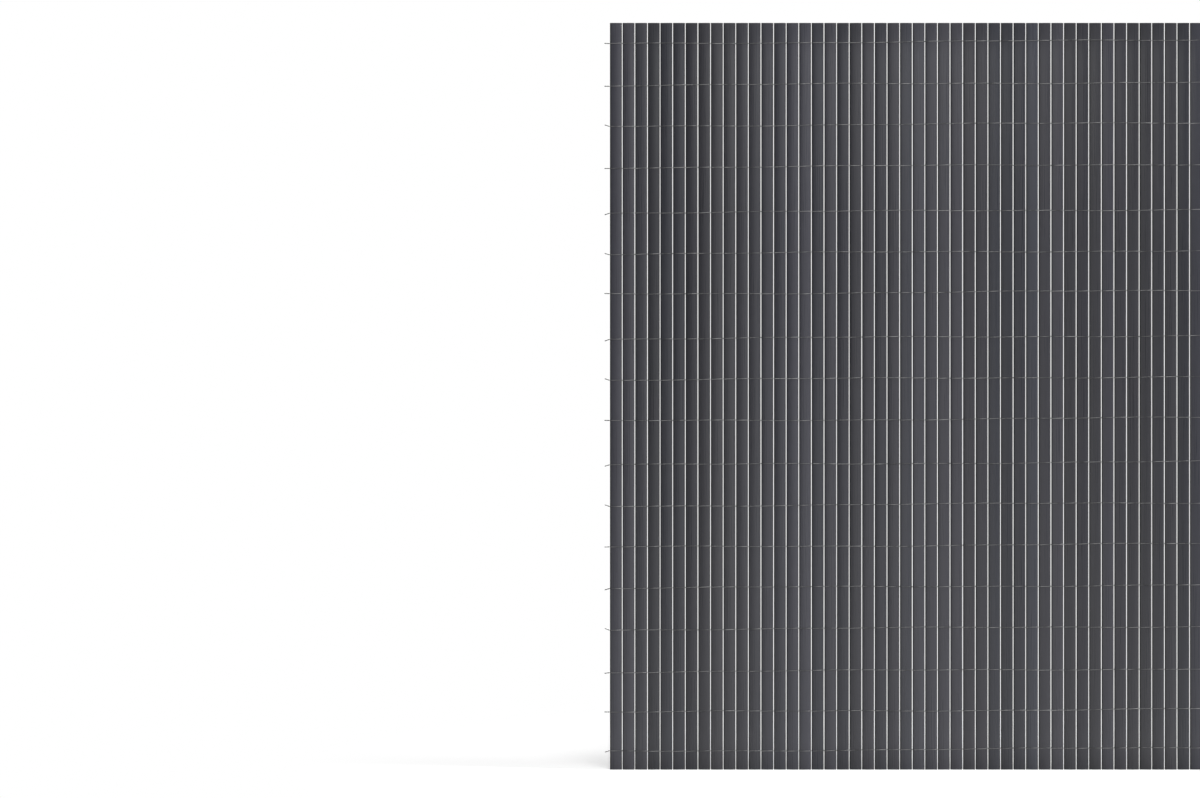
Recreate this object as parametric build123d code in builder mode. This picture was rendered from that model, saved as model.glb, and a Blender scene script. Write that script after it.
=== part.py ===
from build123d import *
import os

# A privacy screen mat: upright hollow plastic slats, bound side by side by level rows of binding.
# Each row is a pair of strands, one in front of the slats and one behind them.
# +X runs along the mat, +Y from its front to its back and +Z up, all in millimetres.
# The origin is in the middle of the bottom edge.

# Slats
slat_count = 53
slat_height = 900.0
slat_width = 14.4
slat_thickness = 3.2  # at the middle of the faces
slat_crown = 0.4  # how far each face bulges past the round long edges
slat_wall = 0.5
slat_gap = 0.8  # open slit between neighbours

# Binding
row_spacing = 50.0
row_margin = 25.0  # from the bottom ends up to the lowest row, and at least as much above the top row
strand_diameter = 0.6
strand_flats = 8  # sides of the faceted strand, which lies on the slats by one of them
strand_clearance = 0.05  # between a strand and the crest of the slats that it lies on
strand_tail = 7.0  # how far the cut ends stand out past the outer slats

slat_pitch = slat_width + slat_gap
hollow_width = slat_width - 2 * slat_wall
hollow_thickness = slat_thickness - 2 * slat_wall
mat_width = slat_count * slat_pitch - slat_gap
row_count = 1 + int((slat_height - 2 * row_margin) / row_spacing)
row_heights = [row_margin + row * row_spacing for row in range(row_count)]
strand_offset = slat_thickness / 2 + strand_clearance + strand_diameter / 2
strand_length = mat_width + 2 * strand_tail


def add_oval(width, thickness, crown, edge, mode=Mode.ADD):
    """Adds a flattened oval to the open sketch, or cuts it out: two crowned faces joined by two edges.

    edge draws a line through three points: an arc gives round edges, and a polyline pointed ones.
    """
    edge_radius = thickness / 2 - crown
    edge_centre = width / 2 - edge_radius
    face_radius = (edge_centre**2 + (thickness / 2) ** 2 - edge_radius**2) / (2 * crown)
    face_centre = face_radius - thickness / 2
    # A face and a round edge share a tangent at (x, y), on the line through their two centres.
    x = edge_centre * face_radius / (face_radius - edge_radius)
    y = face_centre * edge_radius / (face_radius - edge_radius)
    with BuildLine() as outline:
        back_face = ThreePointArc((-x, y), (0, thickness / 2), (x, y))
        mirror(back_face, about=Plane.XZ)
        right_edge = edge((x, y), (width / 2, 0), (x, -y))
        mirror(right_edge, about=Plane.YZ)
    make_face(outline.edges(), mode=mode)


os.makedirs("parts", exist_ok=True)

# Slats, numbered from the left as seen from the front
for number in range(1, slat_count + 1):
    slat_centre = (number - (slat_count + 1) / 2) * slat_pitch
    with BuildPart() as slat:
        with BuildSketch(Plane((slat_centre, 0, 0))):
            add_oval(slat_width, slat_thickness, slat_crown, ThreePointArc)
            add_oval(hollow_width, hollow_thickness, slat_crown, Polyline, Mode.SUBTRACT)
        extrude(amount=slat_height)
    slat.part.label = f"slat_{number:02d}"
    export_step(slat.part, f"parts/{slat.part.label}.step")

# Binding strands, a front and a back one in each row
with BuildPart() as binding_strands:
    with BuildSketch(Plane.YZ.offset(-strand_length / 2)):
        for row_height in row_heights:
            with Locations((-strand_offset, row_height), (strand_offset, row_height)):
                RegularPolygon(strand_diameter / 2, strand_flats, major_radius=False, rotation=180 / strand_flats)
    extrude(amount=strand_length)
binding_strands.part.label = "binding_strands"
export_step(binding_strands.part, "parts/binding_strands.step")

print(f"{slat_count} slats in {row_count} rows of binding, {mat_width:.1f} mm wide and {slat_height:.1f} mm high")
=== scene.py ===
# %% [markdown]
# A privacy screen mat is a row of upright plastic slats that thin strands hold side by side. Its solids
# are already made, at their real size. This lesson gives them their looks: smooth slats that stand as
# freely as real ones, strands that change sides in each gap, a finish for both, and a plain studio. Blender
# works in metres in the frame of the solids, so each new piece goes where its solid is and nothing is fitted.

# %% Load the solids and read their sizes
import math
import random

import bmesh
import bpy
import numpy as np
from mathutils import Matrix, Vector


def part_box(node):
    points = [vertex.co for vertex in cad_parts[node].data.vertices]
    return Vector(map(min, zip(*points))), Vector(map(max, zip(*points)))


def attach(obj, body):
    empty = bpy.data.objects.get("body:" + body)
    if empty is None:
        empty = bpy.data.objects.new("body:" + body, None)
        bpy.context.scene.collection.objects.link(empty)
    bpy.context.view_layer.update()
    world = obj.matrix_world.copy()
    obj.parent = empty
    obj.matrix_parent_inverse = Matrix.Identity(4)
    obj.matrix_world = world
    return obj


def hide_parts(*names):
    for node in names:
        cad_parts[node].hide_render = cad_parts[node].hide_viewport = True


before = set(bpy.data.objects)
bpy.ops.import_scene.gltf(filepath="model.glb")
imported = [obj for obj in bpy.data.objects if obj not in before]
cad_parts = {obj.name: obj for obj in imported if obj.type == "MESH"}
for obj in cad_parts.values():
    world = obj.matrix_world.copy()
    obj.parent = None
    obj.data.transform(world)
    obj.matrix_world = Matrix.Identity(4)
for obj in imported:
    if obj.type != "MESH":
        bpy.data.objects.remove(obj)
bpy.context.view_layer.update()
MM = 0.001

slat_names = sorted(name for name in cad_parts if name.startswith("slat_"))
first_low, first_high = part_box(slat_names[0])
slat_width = first_high.x - first_low.x
slat_height = first_high.z - first_low.z
slat_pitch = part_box(slat_names[1])[0].x - first_low.x
strands_low, strands_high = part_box("binding_strands")
tail_length = first_low.x - strands_low.x
print(f"{len(slat_names)} slats, {slat_width / MM:.1f} mm wide and {slat_pitch / MM:.1f} mm apart")

# %% [markdown]
# The section of a slat is a flattened tube: two faces with a slight crown and two round edges. It could be
# cut from a bevelled box, but the crown would then need a step of its own. Here it is set out as on a drawing
# board, as four arcs that share their tangents, so only their radii and centres have to be worked out.

# %% Set out the slat's section
slat_thickness = 3.2 * MM
slat_crown = 0.4 * MM
slat_wall = 0.5 * MM
edge_radius = slat_thickness / 2 - slat_crown
edge_centre = slat_width / 2 - edge_radius
face_radius = (edge_centre**2 + (slat_thickness / 2) ** 2 - edge_radius**2) / (2 * slat_crown)
face_centre = face_radius - slat_thickness / 2
face_angle = 2 * math.atan2(edge_centre, face_centre)
edge_angle = math.pi - face_angle
print(f"faces of radius {face_radius / MM:.1f} mm, edges of radius {edge_radius / MM:.1f} mm")

# %% [markdown]
# The outline of the tube could be a Bezier curve, but that only comes near to round arcs. One vertex can draw
# them truly: Spin turns it round the centre of the front face, then round the right edge, the back face and
# the left edge, and it comes back to where it began. Without a window, Spin turns clockwise about an axis, so
# the axis points down. The hollow is the same outline, one wall further in.

# %% A vertex draws an outline
FACE_STEPS = 8
EDGE_STEPS = 10


def draw_outline(inset):
    """Adds the slat's outline to the mesh in edit mode, or one that lies inside it by inset."""
    bpy.ops.mesh.primitive_plane_add(size=slat_wall)
    bpy.ops.mesh.merge(type="CENTER")
    radius = face_radius - inset
    start_x = -radius * math.sin(face_angle / 2)
    start_y = face_centre - radius * math.cos(face_angle / 2)
    bpy.ops.transform.translate(value=(start_x, start_y, 0))
    arcs = (
        ((0, face_centre, 0), face_angle, FACE_STEPS),
        ((edge_centre, 0, 0), edge_angle, EDGE_STEPS),
        ((0, -face_centre, 0), face_angle, FACE_STEPS),
        ((-edge_centre, 0, 0), edge_angle, EDGE_STEPS),
    )
    for centre, angle, steps in arcs:
        bpy.ops.mesh.spin(steps=steps, angle=angle, center=centre, axis=(0, 0, -1))


def select_edges(wanted):
    """Selects the edges in edit mode whose two end points pass the test wanted, and no others."""
    bpy.ops.mesh.select_mode(type="EDGE")
    bpy.ops.mesh.select_all(action="DESELECT")
    mesh = bmesh.from_edit_mesh(bpy.context.object.data)
    for edge in mesh.edges:
        edge.select_set(wanted(edge.verts[0].co, edge.verts[1].co))
    bmesh.update_edit_mesh(bpy.context.object.data)


print(f"an outline has {2 * (FACE_STEPS + EDGE_STEPS)} edges")

# %% [markdown]
# A real slat is an extruded tube that a saw has cut square. Solidify could give a plain tube its wall, but
# the hollow needs its own round edges, so two outlines are bridged to a ring, the ring is extruded to the
# slat's height, and the open foot is bridged again. A very small bevel breaks the cut edges, so that they
# catch the light. Cuts along the height let each copy bow a little later on.

# %% Model one slat
HEIGHT_CUTS = 17
CUT_EDGE_BEVEL = 0.12 * MM
CUT_EDGE_STEPS = 2
MERGE_DISTANCE = 0.01 * MM
SHARP_ANGLE = math.radians(40)

bpy.ops.object.select_all(action="DESELECT")
bpy.ops.mesh.primitive_plane_add(size=slat_wall)
pattern_slat = bpy.context.object
pattern_slat.name = "pattern_slat"
bpy.ops.object.mode_set(mode="EDIT")
bpy.ops.mesh.delete(type="VERT")
draw_outline(0)
draw_outline(slat_wall)
bpy.ops.mesh.select_all(action="SELECT")
bpy.ops.mesh.remove_doubles(threshold=MERGE_DISTANCE)
bpy.ops.mesh.bridge_edge_loops()
bpy.ops.mesh.select_all(action="SELECT")
bpy.ops.mesh.extrude_region_move(TRANSFORM_OT_translate={"value": (0, 0, slat_height)})
bpy.ops.mesh.select_mode(type="EDGE")
bpy.ops.mesh.select_all(action="DESELECT")
bpy.ops.mesh.select_non_manifold()
bpy.ops.mesh.bridge_edge_loops()
bpy.ops.mesh.select_all(action="SELECT")
bpy.ops.mesh.normals_make_consistent(inside=False)
bpy.ops.mesh.select_all(action="DESELECT")
bpy.ops.mesh.edges_select_sharp(sharpness=SHARP_ANGLE)
bpy.ops.mesh.bevel(offset=CUT_EDGE_BEVEL, segments=CUT_EDGE_STEPS, affect="EDGES")
select_edges(lambda one, other: abs(one.z - other.z) > slat_height / 2)
bpy.ops.mesh.subdivide(number_cuts=HEIGHT_CUTS)
bpy.ops.object.mode_set(mode="OBJECT")
bpy.ops.object.shade_smooth_by_angle(angle=SHARP_ANGLE)
print(f"one slat has {len(pattern_slat.data.polygons)} faces")

# %% [markdown]
# On the real mat no two gaps are alike. The strands leave each slat some play, so it stands a little to one
# side, leans, bows and turns. Slats could be pushed about by hand, but there are many, so these amounts are
# drawn from a seeded random source, small enough to keep the gaps open. One method puts a point of the
# section in its place on the mat, and the strands will use it too.

# %% Draw how freely each slat stands
MOST_SHIFT = 0.05 * MM
MOST_LEAN = 0.02 * MM
MOST_BOW = 0.02 * MM
MOST_TURN = math.radians(2.2)
SEED = 31
chance = random.Random(SEED)


class Slat:
    """The place of one slat and the play that it stands with."""

    def __init__(self, name):
        low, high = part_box(name)
        self.name = name
        self.centre = (low.x + high.x) / 2
        self.shift = chance.uniform(-MOST_SHIFT, MOST_SHIFT)
        self.lean = chance.uniform(-MOST_LEAN, MOST_LEAN)
        self.bow = chance.uniform(-MOST_BOW, MOST_BOW)
        self.turn = chance.uniform(-MOST_TURN, MOST_TURN)

    def middle(self, height):
        """Where the slat's middle is along the mat, at a height above the floor."""
        share = 2 * height / slat_height - 1
        return self.centre + self.shift + self.lean * share + self.bow * (1 - 2 * share**2)

    def place(self, x, y, height):
        """Where a point of the section is on the mat: along it, and from its front to its back."""
        along = self.middle(height) + x * math.cos(self.turn) - y * math.sin(self.turn)
        return along, x * math.sin(self.turn) + y * math.cos(self.turn)


slats = [Slat(name) for name in slat_names]
print(f"gaps differ by at most {2 * (MOST_SHIFT + MOST_LEAN + MOST_BOW) / MM:.2f} mm from the even one")

# %% [markdown]
# The slats are one shape repeated. An Array modifier would repeat it as well, but all its copies would stand
# alike, so each slat is a copy of the pattern with a mesh of its own. The play goes into the vertices and the
# object stays at the origin, because a finish that reads object coordinates would otherwise slide. The
# pattern itself is deleted, and each copy takes the place of its solid.


# %% Stand the slats side by side
def stand(slat):
    """Copies the pattern to the slat's place, with its play, and lets it replace the solid."""
    piece = pattern_slat.copy()
    piece.data = pattern_slat.data.copy()
    piece.name = piece.data.name = slat.name.replace("slat", "smooth_slat")
    bpy.context.collection.objects.link(piece)
    points = np.empty(len(piece.data.vertices) * 3, np.float32)
    piece.data.vertices.foreach_get("co", points)
    points = points.reshape(-1, 3)
    x, y, z = points.T.copy()
    points[:, 0], points[:, 1] = slat.place(x, y, z)
    piece.data.vertices.foreach_set("co", points.ravel())
    piece.data.update()
    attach(piece, "root")
    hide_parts(slat.name)
    return piece


slat_pieces = [stand(slat) for slat in slats]
bpy.data.objects.remove(pattern_slat)
print(f"{len(slat_pieces)} slats stand")

# %% [markdown]
# The rows of binding are level, but not ruled: each has slipped up or down by a few millimetres, climbs a
# little to the right and wanders on its way. Straight lines at even heights would be simpler and would look
# drawn. The cut ends stand out past the outer slats and point up or down as they happened to be cut. Slips
# and leans roughly follow those of the real mat, from the top row down.

# %% Lay out the rows
ROW_SLIPS = (2.5, 2, 3, 3, -1.5, -1, 0.5, -3.5, -3, -2.5, -5.5, -5, -4.5, -4, -4, -5, -3.5, -0.5)
END_LEANS = (2, 0, 17, -1, -19, 16, 1, -20, 18, 0, -17, 19, -2, -16, 20, -7, 1, -19)
ROW_CLIMB = 0.006
LONG_WANDER, LONG_WAVE = 0.7 * MM, 0.62
SHORT_WANDER, SHORT_WAVE = 0.35 * MM, 0.17
STRAND_PLAY = 0.02 * MM
strand_radius = (strands_high.y - slat_thickness / 2) / 2 - STRAND_PLAY
row_spacing = (strands_high.z - strands_low.z - 2 * strand_radius) / (len(ROW_SLIPS) - 1)


class Row:
    """One row of binding: its height, the line that it wanders along and the lean of its cut ends."""

    def __init__(self, number):
        self.name = f"twisted_row_{number + 1:02d}"
        self.height = strands_high.z - strand_radius - number * row_spacing + ROW_SLIPS[number] * MM
        self.lean = math.radians(END_LEANS[number])
        self.long_start = chance.uniform(0, 2 * math.pi)
        self.short_start = chance.uniform(0, 2 * math.pi)

    def line(self, along):
        """The height of the row's line at a place along the mat."""
        long_wave = LONG_WANDER * math.sin(2 * math.pi * along / LONG_WAVE + self.long_start)
        short_wave = SHORT_WANDER * math.sin(2 * math.pi * along / SHORT_WAVE + self.short_start)
        return self.height + ROW_CLIMB * along + long_wave + short_wave


rows = [Row(number) for number in range(len(ROW_SLIPS))]
print(f"{len(rows)} rows, {row_spacing / MM:.1f} mm apart before they slip")

# %% [markdown]
# Each row is two strands. One lies on the front of a slat while the other lies on its back, and in every gap
# they change places, one over the other. So a strand's way is found slat by slat: over the crown of a face,
# round the edge, slantwise through the gap and round the next slat's edge to its other face. Going to the
# back it passes above its partner and coming to the front below it, which is why the stretches on the faces
# all slant the same way. A wave of one height would be shorter to write, but it would cut into the edges.

# %% Find a strand's way from slat to slat
FACE_STOPS = (-0.55, 0.0, 0.55)
WRAP_STOPS = (0.12, 0.55, 0.95)
edge_wrap = edge_radius + strand_radius + STRAND_PLAY
face_wrap = face_radius + strand_radius + STRAND_PLAY
pass_height = strand_radius + STRAND_PLAY


def over_face(slat, side, row):
    """Points of a strand over one face of a slat. side is -1 at the front and 1 at the back."""
    points = []
    for stop in FACE_STOPS:
        x = stop * edge_centre
        y = math.sqrt(face_wrap**2 - x**2) - face_centre
        along, across = slat.place(x, side * y, row.height)
        points.append((along, across, row.line(along) - side * stop * pass_height / 2))
    return points


def round_edge(slat, side, way, most, row, lift):
    """Points of a strand round a slat's edge, from its face on. way is 1 at the right edge, else -1."""
    points = []
    for stop in WRAP_STOPS:
        angle = stop * most
        x = way * (edge_centre + edge_wrap * math.sin(angle))
        along, across = slat.place(x, side * edge_wrap * math.cos(angle), row.height)
        points.append((along, across, row.line(along) + lift * pass_height * (1 + stop) / 2))
    return points


def through_gap(left, right, side, row):
    """Points of a strand from the side of one slat, through the gap, to the other side of the next."""
    spread = right.middle(row.height) - left.middle(row.height) - 2 * edge_centre
    most = math.asin(min(1.0, 2 * edge_wrap / spread))
    lift = -side
    away = round_edge(left, side, 1, most, row, lift)
    onto = round_edge(right, -side, -1, most, row, lift)
    return away + onto[::-1]


print(f"strands of {2 * strand_radius / MM:.2f} mm pass up to {pass_height / MM:.2f} mm off the row's line")

# %% [markdown]
# Past the outer slats the two strands of a row are twisted together once and cut off. A Screw modifier could
# wind them, but they have to start where the slat's edge leaves them. So each end is worked out as a helix on
# a short straight axis: two strands on opposite sides of the axis that turn round it as they go out.

# %% Twist the cut ends
END_TURN = 2 * math.pi
END_STEPS = 9
END_EDGE_ANGLE = math.radians(62)
END_GAP = 0.25 * MM


def twisted_end(slat, side, way, row):
    """Points of a strand from the outer edge of an end slat to its cut end. way is 1 at the right end."""
    points = round_edge(slat, side, way, END_EDGE_ANGLE, row, 0)
    root = slat.middle(row.height) + way * (edge_centre + edge_wrap + END_GAP)
    length = tail_length - pass_height - END_GAP - strand_radius
    for step in range(END_STEPS + 1):
        share = step / END_STEPS
        turn = share * END_TURN
        along = root + way * share * length * math.cos(row.lean)
        height = row.line(root) + share * length * math.sin(row.lean)
        across = side * pass_height * math.cos(turn)
        points.append((along, across, height + side * pass_height * math.sin(turn)))
    return points


print(f"cut ends stand out by up to {tail_length / MM:.1f} mm")

# %% [markdown]
# Every row is one curve with two splines, which a round bevel gives their thickness before they are made a
# mesh. A curve keeps the strand round through all its bends, which extruding a ring step by step would not.

# %% Thread the rows
STRAND_ROUNDNESS = 2
STRAND_SMOOTH_ANGLE = math.radians(75)


def strand_way(row, side):
    """All points of one strand. side is -1 for the strand that lies in front of the first slat."""
    points = twisted_end(slats[0], side, -1, row)[::-1]
    for left, right in zip(slats, slats[1:]):
        points += over_face(left, side, row) + through_gap(left, right, side, row)
        side = -side
    return points + over_face(slats[-1], side, row) + twisted_end(slats[-1], side, 1, row)


def thread(row):
    """Makes the two strands of a row as one mesh that stands for the row's solids."""
    curve = bpy.data.curves.new(row.name, "CURVE")
    curve.dimensions = "3D"
    curve.bevel_depth = strand_radius
    curve.bevel_resolution = STRAND_ROUNDNESS
    curve.use_fill_caps = True
    for side in (-1, 1):
        way = strand_way(row, side)
        spline = curve.splines.new("POLY")
        spline.points.add(len(way) - 1)
        for point, place in zip(spline.points, way):
            point.co = (*place, 1)
    piece = bpy.data.objects.new(row.name, curve)
    bpy.context.collection.objects.link(piece)
    bpy.ops.object.select_all(action="DESELECT")
    piece.select_set(True)
    bpy.context.view_layer.objects.active = piece
    bpy.ops.object.convert(target="MESH")
    piece = bpy.context.object
    bpy.ops.object.shade_smooth_by_angle(angle=STRAND_SMOOTH_ANGLE)
    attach(piece, "root")
    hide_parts("binding_strands")
    return piece


row_pieces = [thread(row) for row in rows]
print(f"{len(row_pieces)} rows of {len(row_pieces[0].data.polygons)} faces each")

# %% [markdown]
# Finishes are node trees, and their sums read best as sums. A small class wraps a socket, so that plus, minus
# and times on it add Math nodes. Every other node comes from one method, which takes the node's type, its
# settings and what goes into its sockets. Placing and linking nodes one by one would do the same, in many
# more lines.


# %% Sockets that can be reckoned with
class Shade:
    """A socket of a finish that takes part in Python's arithmetic."""

    def __init__(self, tree, socket=None):
        self.tree = tree
        self.socket = socket

    def node(self, kind, settings=None, sockets=None, output=0):
        """Adds a node, with its settings set first, and gives one of its outputs."""
        made = self.tree.nodes.new(kind)
        for name, value in (settings or {}).items():
            setattr(made, name, value)
        for name, value in (sockets or {}).items():
            if isinstance(value, Shade):
                self.tree.links.new(value.socket, made.inputs[name])
            else:
                made.inputs[name].default_value = value
        return Shade(self.tree, made.outputs[output] if made.outputs else None)

    def output(self, name):
        """Another output of the node that this socket is on."""
        return Shade(self.tree, self.socket.node.outputs[name])

    def math(self, operation, first, second=0.0):
        return self.node("ShaderNodeMath", {"operation": operation}, {0: first, 1: second})

    def mix(self, share, first, second, blend="MIX"):
        """A colour between two, nearer to the second the larger share is, or blended in another way."""
        settings = {"data_type": "RGBA", "blend_type": blend}
        return self.node("ShaderNodeMix", settings, {0: share, 6: first, 7: second}, 2)

    def ramp(self, value, start, end, course="LINEAR"):
        """0 up to start, 1 from end on, and a slope between them."""
        limits = {"Value": value, "From Min": start, "From Max": end}
        return self.node("ShaderNodeMapRange", {"interpolation_type": course}, limits)

    def noise(self, place, scale, detail):
        """Noise from 0 to 1 that is alike in all directions."""
        return self.node("ShaderNodeTexNoise", None, {"Vector": place, "Scale": scale, "Detail": detail})

    def __add__(self, other):
        return self.math("ADD", self, other)

    def __sub__(self, other):
        return self.math("SUBTRACT", self, other)

    def __rsub__(self, other):
        return self.math("SUBTRACT", other, self)

    def __mul__(self, other):
        return self.math("MULTIPLY", self, other)

    def __truediv__(self, other):
        return self.math("DIVIDE", self, other)

    __radd__ = __add__
    __rmul__ = __mul__


def new_finish(name):
    """An empty finish: the material, and a Shade to make its nodes with."""
    material = bpy.data.materials.new(name)
    material.use_nodes = True
    material.node_tree.nodes.clear()
    return material, Shade(material.node_tree)


print("sockets add, subtract, multiply and divide")

# %% [markdown]
# The slats are extruded from dark grey plastic. Seen from a distance, slats from different batches differ in
# lightness and tint: some are neutral, others lean to blue or violet. Each tone could be set by hand, but
# noise deals them out faster, and its start was tried out until their run along the mat looked right. The
# round edges look darker on a real mat than the lights here make them, so their colour is darkened with
# painted shade. The sawn ends are paler.


# %% Tones of dark grey plastic
def linear(red, green, blue):
    """A colour as a screen shows it, 0 to 255, in the values that light is reckoned in (sRGB's curve)."""
    return (*[((value / 255 + 0.055) / 1.055) ** 2.4 for value in (red, green, blue)], 1)


GREY_NEUTRAL = linear(62, 62, 66)
GREY_BLUE = linear(59, 61, 69)
GREY_VIOLET = linear(63, 62, 69)
GREY_SAWN = linear(104, 104, 107)
VIOLET_SHARE = 0.7
FIRST_BATCH = 634
PLAIN_LIGHTNESS = 0.57
BATCH_LIGHTNESS, STREAK_LIGHTNESS, CLOUD_LIGHTNESS = 0.5, 0.16, 0.12
PLAIN_ROUGHNESS, SAWN_ROUGHNESS, RIM_ROUGHNESS = 0.2, 0.2, 0.3
STREAK_ROUGHNESS, CLOUD_ROUGHNESS = 0.12, 0.06
STREAK_SCALE, STREAK_DETAIL = (1400, 1400, 8), 3.0
CLOUD_SCALE, CLOUD_DETAIL = (70, 70, 9), 2.0
GRAIN_SCALE, GRAIN_DETAIL, GRAIN_SHARE = 2600, 2.0, 0.35
LINE_STRENGTH, LINE_DEPTH = 0.2, 0.06 * MM
SAWN_DEPTH = 0.05 * MM
# Where on the round edges the painted shade begins and ends, and how much of their colour it takes away.
RIM_START, RIM_END = 5.8 * MM, 6.7 * MM
RIM_SHADE = 0.92
PLASTIC_SHINE = 0.5
mat_left = slats[0].centre - slat_pitch / 2
print(f"round edges darken from {RIM_START / MM:.1f} mm off the middle of a slat")

# %% [markdown]
# Close up, such plastic has fine lines along its length from the die, and a satin gloss that comes and goes
# with them, so noise that is stretched along the slats moves both. The number of a slat follows from its
# place along the mat, and white noise on that number gives it a tone that is its own. A picture could carry
# all this, but noise needs no file and doesn't repeat.


# %% Dark grey plastic
def put_on(pieces, material):
    """Gives pieces a finish, in place of any that they have."""
    for piece in pieces:
        piece.data.materials.clear()
        piece.data.materials.append(material)
    print(f"{material.name} on {len(pieces)} pieces")


def stretched_noise(shade, place, scale, detail):
    """Noise that is stretched along the slats, from 0 to 1."""
    where = shade.node("ShaderNodeVectorMath", {"operation": "MULTIPLY"}, {0: place, 1: scale})
    return shade.noise(where, 1.0, detail)


def make_plastic():
    """The finish of the slats."""
    material, shade = new_finish("dark_grey_plastic")
    place = shade.node("ShaderNodeTexCoord", output="Object")
    along = shade.node("ShaderNodeSeparateXYZ", None, {0: place})
    height = along.output("Z")
    pitches = (along - mat_left) / slat_pitch
    number = shade.math("FLOOR", pitches)
    from_middle = shade.math("ABSOLUTE", pitches - number - 0.5) * slat_pitch
    # The round edges, which get painted shade in their colour and a rougher gloss.
    rim = shade.ramp(from_middle, RIM_START, RIM_END, "SMOOTHSTEP")
    own_number = {"W": number + FIRST_BATCH}
    batch = shade.node("ShaderNodeTexWhiteNoise", {"noise_dimensions": "1D"}, own_number, "Color")
    batch = shade.node("ShaderNodeSeparateColor", None, {0: batch})
    streak = stretched_noise(shade, place, STREAK_SCALE, STREAK_DETAIL)
    cloud = stretched_noise(shade, place, CLOUD_SCALE, CLOUD_DETAIL)
    sawn = shade.math("GREATER_THAN", height, slat_height - SAWN_DEPTH)
    sawn = sawn + shade.math("LESS_THAN", height, SAWN_DEPTH)

    colour = shade.mix(batch, GREY_NEUTRAL, GREY_BLUE)
    colour = shade.mix(batch.output("Green") * VIOLET_SHARE, colour, GREY_VIOLET)
    lightness = PLAIN_LIGHTNESS + BATCH_LIGHTNESS * batch.output("Blue")
    lightness = lightness + STREAK_LIGHTNESS * streak + CLOUD_LIGHTNESS * cloud
    # Painted shade: the round edges lose most of their colour here.
    colour = shade.mix(1.0, colour, lightness * (1 - RIM_SHADE * rim), "MULTIPLY")
    colour = shade.mix(sawn, colour, GREY_SAWN)
    roughness = PLAIN_ROUGHNESS + STREAK_ROUGHNESS * streak + CLOUD_ROUGHNESS * cloud
    roughness = roughness + SAWN_ROUGHNESS * sawn + RIM_ROUGHNESS * rim
    relief = streak + GRAIN_SHARE * shade.noise(place, GRAIN_SCALE, GRAIN_DETAIL)
    lines = {"Strength": LINE_STRENGTH, "Distance": LINE_DEPTH, "Height": relief}
    bump = shade.node("ShaderNodeBump", None, lines)
    inputs = {"Base Color": colour, "Roughness": roughness, "Normal": bump}
    inputs["Specular IOR Level"] = PLASTIC_SHINE
    surface = shade.node("ShaderNodeBsdfPrincipled", None, inputs)
    shade.node("ShaderNodeOutputMaterial", None, {"Surface": surface})
    return material


put_on(slat_pieces, make_plastic())

# %% [markdown]
# The binding is a thin synthetic strand, lighter than the slats and duller. It isn't even in tone: a slow
# noise makes one stretch of it lighter than the next, and a fine one mottles its grey and its gloss. One
# plain grey would be simpler, but the rows would then look ruled. Where two strands rub in a gap they look
# darker, but that is shade, which the lights make by themselves.

# %% Grey synthetic strand
STRAND_LIGHT = linear(172, 172, 172)
STRAND_DARK = linear(70, 70, 71)
STRETCH_SCALE, STRETCH_DETAIL, STRETCH_TONE = 75, 1.0, 2.1
MOTTLE_SCALE, MOTTLE_DETAIL, MOTTLE_TONE = 900, 3.0, 0.4
TONE_DROP = 0.87
STRAND_ROUGHNESS, MOTTLE_ROUGHNESS = 0.36, 0.2
MOTTLE_STRENGTH, MOTTLE_DEPTH = 0.15, 0.05 * MM
STRAND_SHINE = 0.4


def make_strand():
    """The finish of the binding."""
    material, shade = new_finish("grey_strand")
    place = shade.node("ShaderNodeTexCoord", output="Object")
    mottle = shade.noise(place, MOTTLE_SCALE, MOTTLE_DETAIL)
    stretch = shade.noise(place, STRETCH_SCALE, STRETCH_DETAIL)
    tone = STRETCH_TONE * stretch + MOTTLE_TONE * mottle - TONE_DROP
    colour = shade.mix(tone, STRAND_DARK, STRAND_LIGHT)
    roughness = STRAND_ROUGHNESS + MOTTLE_ROUGHNESS * mottle
    relief = {"Strength": MOTTLE_STRENGTH, "Distance": MOTTLE_DEPTH, "Height": mottle}
    bump = shade.node("ShaderNodeBump", None, relief)
    inputs = {"Base Color": colour, "Roughness": roughness, "Normal": bump}
    inputs["Specular IOR Level"] = STRAND_SHINE
    surface = shade.node("ShaderNodeBsdfPrincipled", None, inputs)
    shade.node("ShaderNodeOutputMaterial", None, {"Surface": surface})
    return material


put_on(row_pieces, make_strand())

# %% [markdown]
# The mat stands on a plain white floor. To the lights the floor is a pale matt board, which takes the mat's
# shadow. To the camera it glows a little as well, so that it is white where the light reaches it, and further
# off it is plain white. Lamps alone could make it white, but they would have to be so strong that the slats
# turned pale. The slats mirror that white only from the floor in front of them, less and less with distance,
# because a shine from all sides would hide their colour.

# %% Floor
FLOOR_SIZE = 60
FLOOR_WHITE = (0.8, 0.8, 0.8, 1)
FLOOR_GLOW = 0.49
GLOW_NEAR, GLOW_FAR = 0.46, 0.8
MIRROR_FAR, MIRROR_NEAR, MIRROR_FOOT = -4.2, -0.9, -0.1


def seen_as_white(shade, mirrored):
    """1 for what the camera or a clear piece sees, mirrored for a reflection, 0 for light that spreads."""
    path = shade.node("ShaderNodeLightPath")
    seen = shade.math("MAXIMUM", path, path.output("Is Glossy Ray") * mirrored)
    return shade.math("MAXIMUM", seen, path.output("Is Transmission Ray"))


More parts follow.
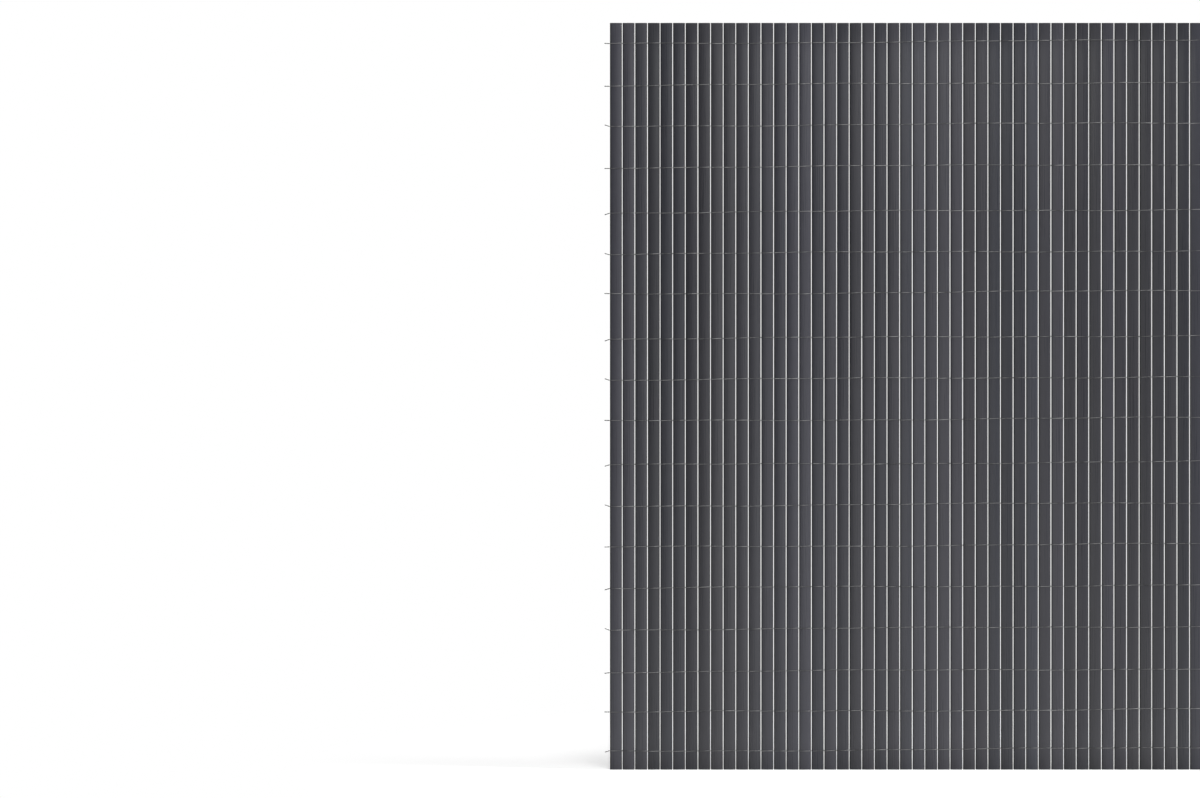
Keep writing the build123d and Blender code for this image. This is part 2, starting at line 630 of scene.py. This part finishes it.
def make_floor():
    """The finish of the floor."""
    material, shade = new_finish("white_floor")
    board = shade.node("ShaderNodeBsdfDiffuse", None, {"Color": FLOOR_WHITE})
    glow = shade.node("ShaderNodeEmission", None, {"Strength": FLOOR_GLOW})
    glowing = shade.node("ShaderNodeAddShader", None, {0: board, 1: glow})
    white = shade.node("ShaderNodeEmission", None, {"Strength": 1.0})
    place = shade.node("ShaderNodeTexCoord", output="Object")
    distance = shade.node("ShaderNodeVectorMath", {"operation": "LENGTH"}, {0: place}, "Value")
    far_share = shade.ramp(distance, GLOW_NEAR, GLOW_FAR, "SMOOTHSTEP")
    seen_floor = shade.node("ShaderNodeMixShader", None, {0: far_share, 1: glowing, 2: white})
    depth = shade.node("ShaderNodeSeparateXYZ", None, {0: place}, "Y")
    mirrored = shade.ramp(depth, MIRROR_FAR, MIRROR_NEAR) * shade.ramp(depth, 0.0, MIRROR_FOOT)
    seen = seen_as_white(shade, mirrored)
    surface = shade.node("ShaderNodeMixShader", None, {0: seen, 1: board, 2: seen_floor})
    shade.node("ShaderNodeOutputMaterial", None, {"Surface": surface})
    return material


bpy.ops.object.select_all(action="DESELECT")
bpy.ops.mesh.primitive_plane_add(size=FLOOR_SIZE)
floor = bpy.context.object
floor.name = "floor"
floor.data.materials.append(make_floor())
print(f"a floor of {FLOOR_SIZE} m")

# %% [markdown]
# The background is white to the camera, and dim as a light. A white wall could stand there too, but it would
# take shadows and throw light back. In a reflection it is white only right behind the mat, where the round
# edges mirror it at a flat angle.

# %% Background
WORLD_WHITE = (1, 1, 1, 1)
WORLD_LIGHT = 0.07
MIRROR_START, MIRROR_FULL = 0.9, 1.0


def make_world():
    """The background, as a world."""
    world = bpy.data.worlds.new("white_studio")
    world.use_nodes = True
    world.node_tree.nodes.clear()
    shade = Shade(world.node_tree)
    direction = shade.node("ShaderNodeTexCoord", output="Generated")
    depth = shade.node("ShaderNodeSeparateXYZ", None, {0: direction}, "Y")
    seen = seen_as_white(shade, shade.ramp(depth, MIRROR_START, MIRROR_FULL))
    strength = WORLD_LIGHT + (1 - WORLD_LIGHT) * seen
    sky = shade.node("ShaderNodeBackground", None, {"Color": WORLD_WHITE, "Strength": strength})
    shade.node("ShaderNodeOutputWorld", None, {"Surface": sky})
    return world


bpy.context.scene.world = make_world()
print(f"a world of strength {WORLD_LIGHT}")

# %% [markdown]
# Six soft lights do the rest. A box high up in front, a brighter strip in it and a box lower down are
# mirrored in the slats. Those towards the left end see only the edge of these boxes, in the right half of
# their faces, which is what shows that the faces are crowned. A distant light grazes the mat from the right
# and does the same for the round edges. One overhead lights the floor and draws the mat's shadow, and one
# behind lights the back. A single large box would be simpler, but it would make every face alike.

# %% Soft lights
FRONT_DEPTH = -1.2
MAT_FOOT = (-0.1, 0.0, 0.0)
MAT_MIDDLE = (0.0, 0.0, 0.45)


def soft_light(name, place, target, width, height, watts):
    """A soft box of a width and a height at a place, which faces a target."""
    lamp = bpy.data.lights.new(name, "AREA")
    lamp.shape = "RECTANGLE"
    lamp.size = width
    lamp.size_y = height
    lamp.energy = watts
    light = bpy.data.objects.new(name, lamp)
    bpy.context.collection.objects.link(light)
    light.location = place
    aim = Vector(target) - light.location
    light.rotation_euler = aim.to_track_quat("-Z", "Y").to_euler()
    return light


def front_light(name, along, up, width, height, watts):
    """A soft box in front of the mat, which faces it squarely."""
    return soft_light(name, (along, FRONT_DEPTH, up), (along, 0.0, up), width, height, watts)


lights = [
    front_light("high_front_light", along=0.13, up=1.05, width=0.66, height=0.5, watts=1.2),
    front_light("strip_light", along=0.2, up=1.05, width=0.25, height=0.5, watts=0.4),
    front_light("low_front_light", along=0.04, up=0.34, width=0.5, height=0.64, watts=0.66),
    soft_light("grazing_light", (12.0, -1.95, 1.6), MAT_MIDDLE, width=1.95, height=3.75, watts=2900),
    soft_light("overhead_light", (-0.15, -1.1, 3.2), MAT_FOOT, width=1.0, height=1.6, watts=42),
    soft_light("back_light", (0.5, 4.0, 2.0), MAT_MIDDLE, width=1.5, height=1.0, watts=80),
]
print(f"{len(lights)} soft lights")

# %% [markdown]
# The camera looks straight at the mat from about half its height. The picture is 1200 by 798 pixels, with the
# mat's left edge right of the middle and its other end outside. The scale follows from the mat's height in
# pixels, and the lens from that scale at the camera's distance, so nothing has to be found by trial.

# %% Camera
IMAGE_WIDTH, IMAGE_HEIGHT = 1200, 798
LEFT_EDGE, TOP_EDGE, BOTTOM_EDGE = 610, 23, 769.5
CAMERA_DISTANCE = 3.6
pixel = slat_height / (BOTTOM_EDGE - TOP_EDGE)
lens = bpy.data.cameras.new("camera")
lens.sensor_fit = "HORIZONTAL"
lens.lens = lens.sensor_width * CAMERA_DISTANCE / (IMAGE_WIDTH * pixel)
camera = bpy.data.objects.new("camera", lens)
bpy.context.collection.objects.link(camera)
camera_x = first_low.x + (IMAGE_WIDTH / 2 - LEFT_EDGE) * pixel
camera_z = (BOTTOM_EDGE - IMAGE_HEIGHT / 2) * pixel
camera.location = (camera_x, -CAMERA_DISTANCE, camera_z)
camera.rotation_euler = (math.pi / 2, 0, 0)
bpy.context.scene.camera = camera
bpy.context.scene.view_settings.view_transform = "Standard"
print(f"a lens of {lens.lens:.1f} mm, {CAMERA_DISTANCE} m away")
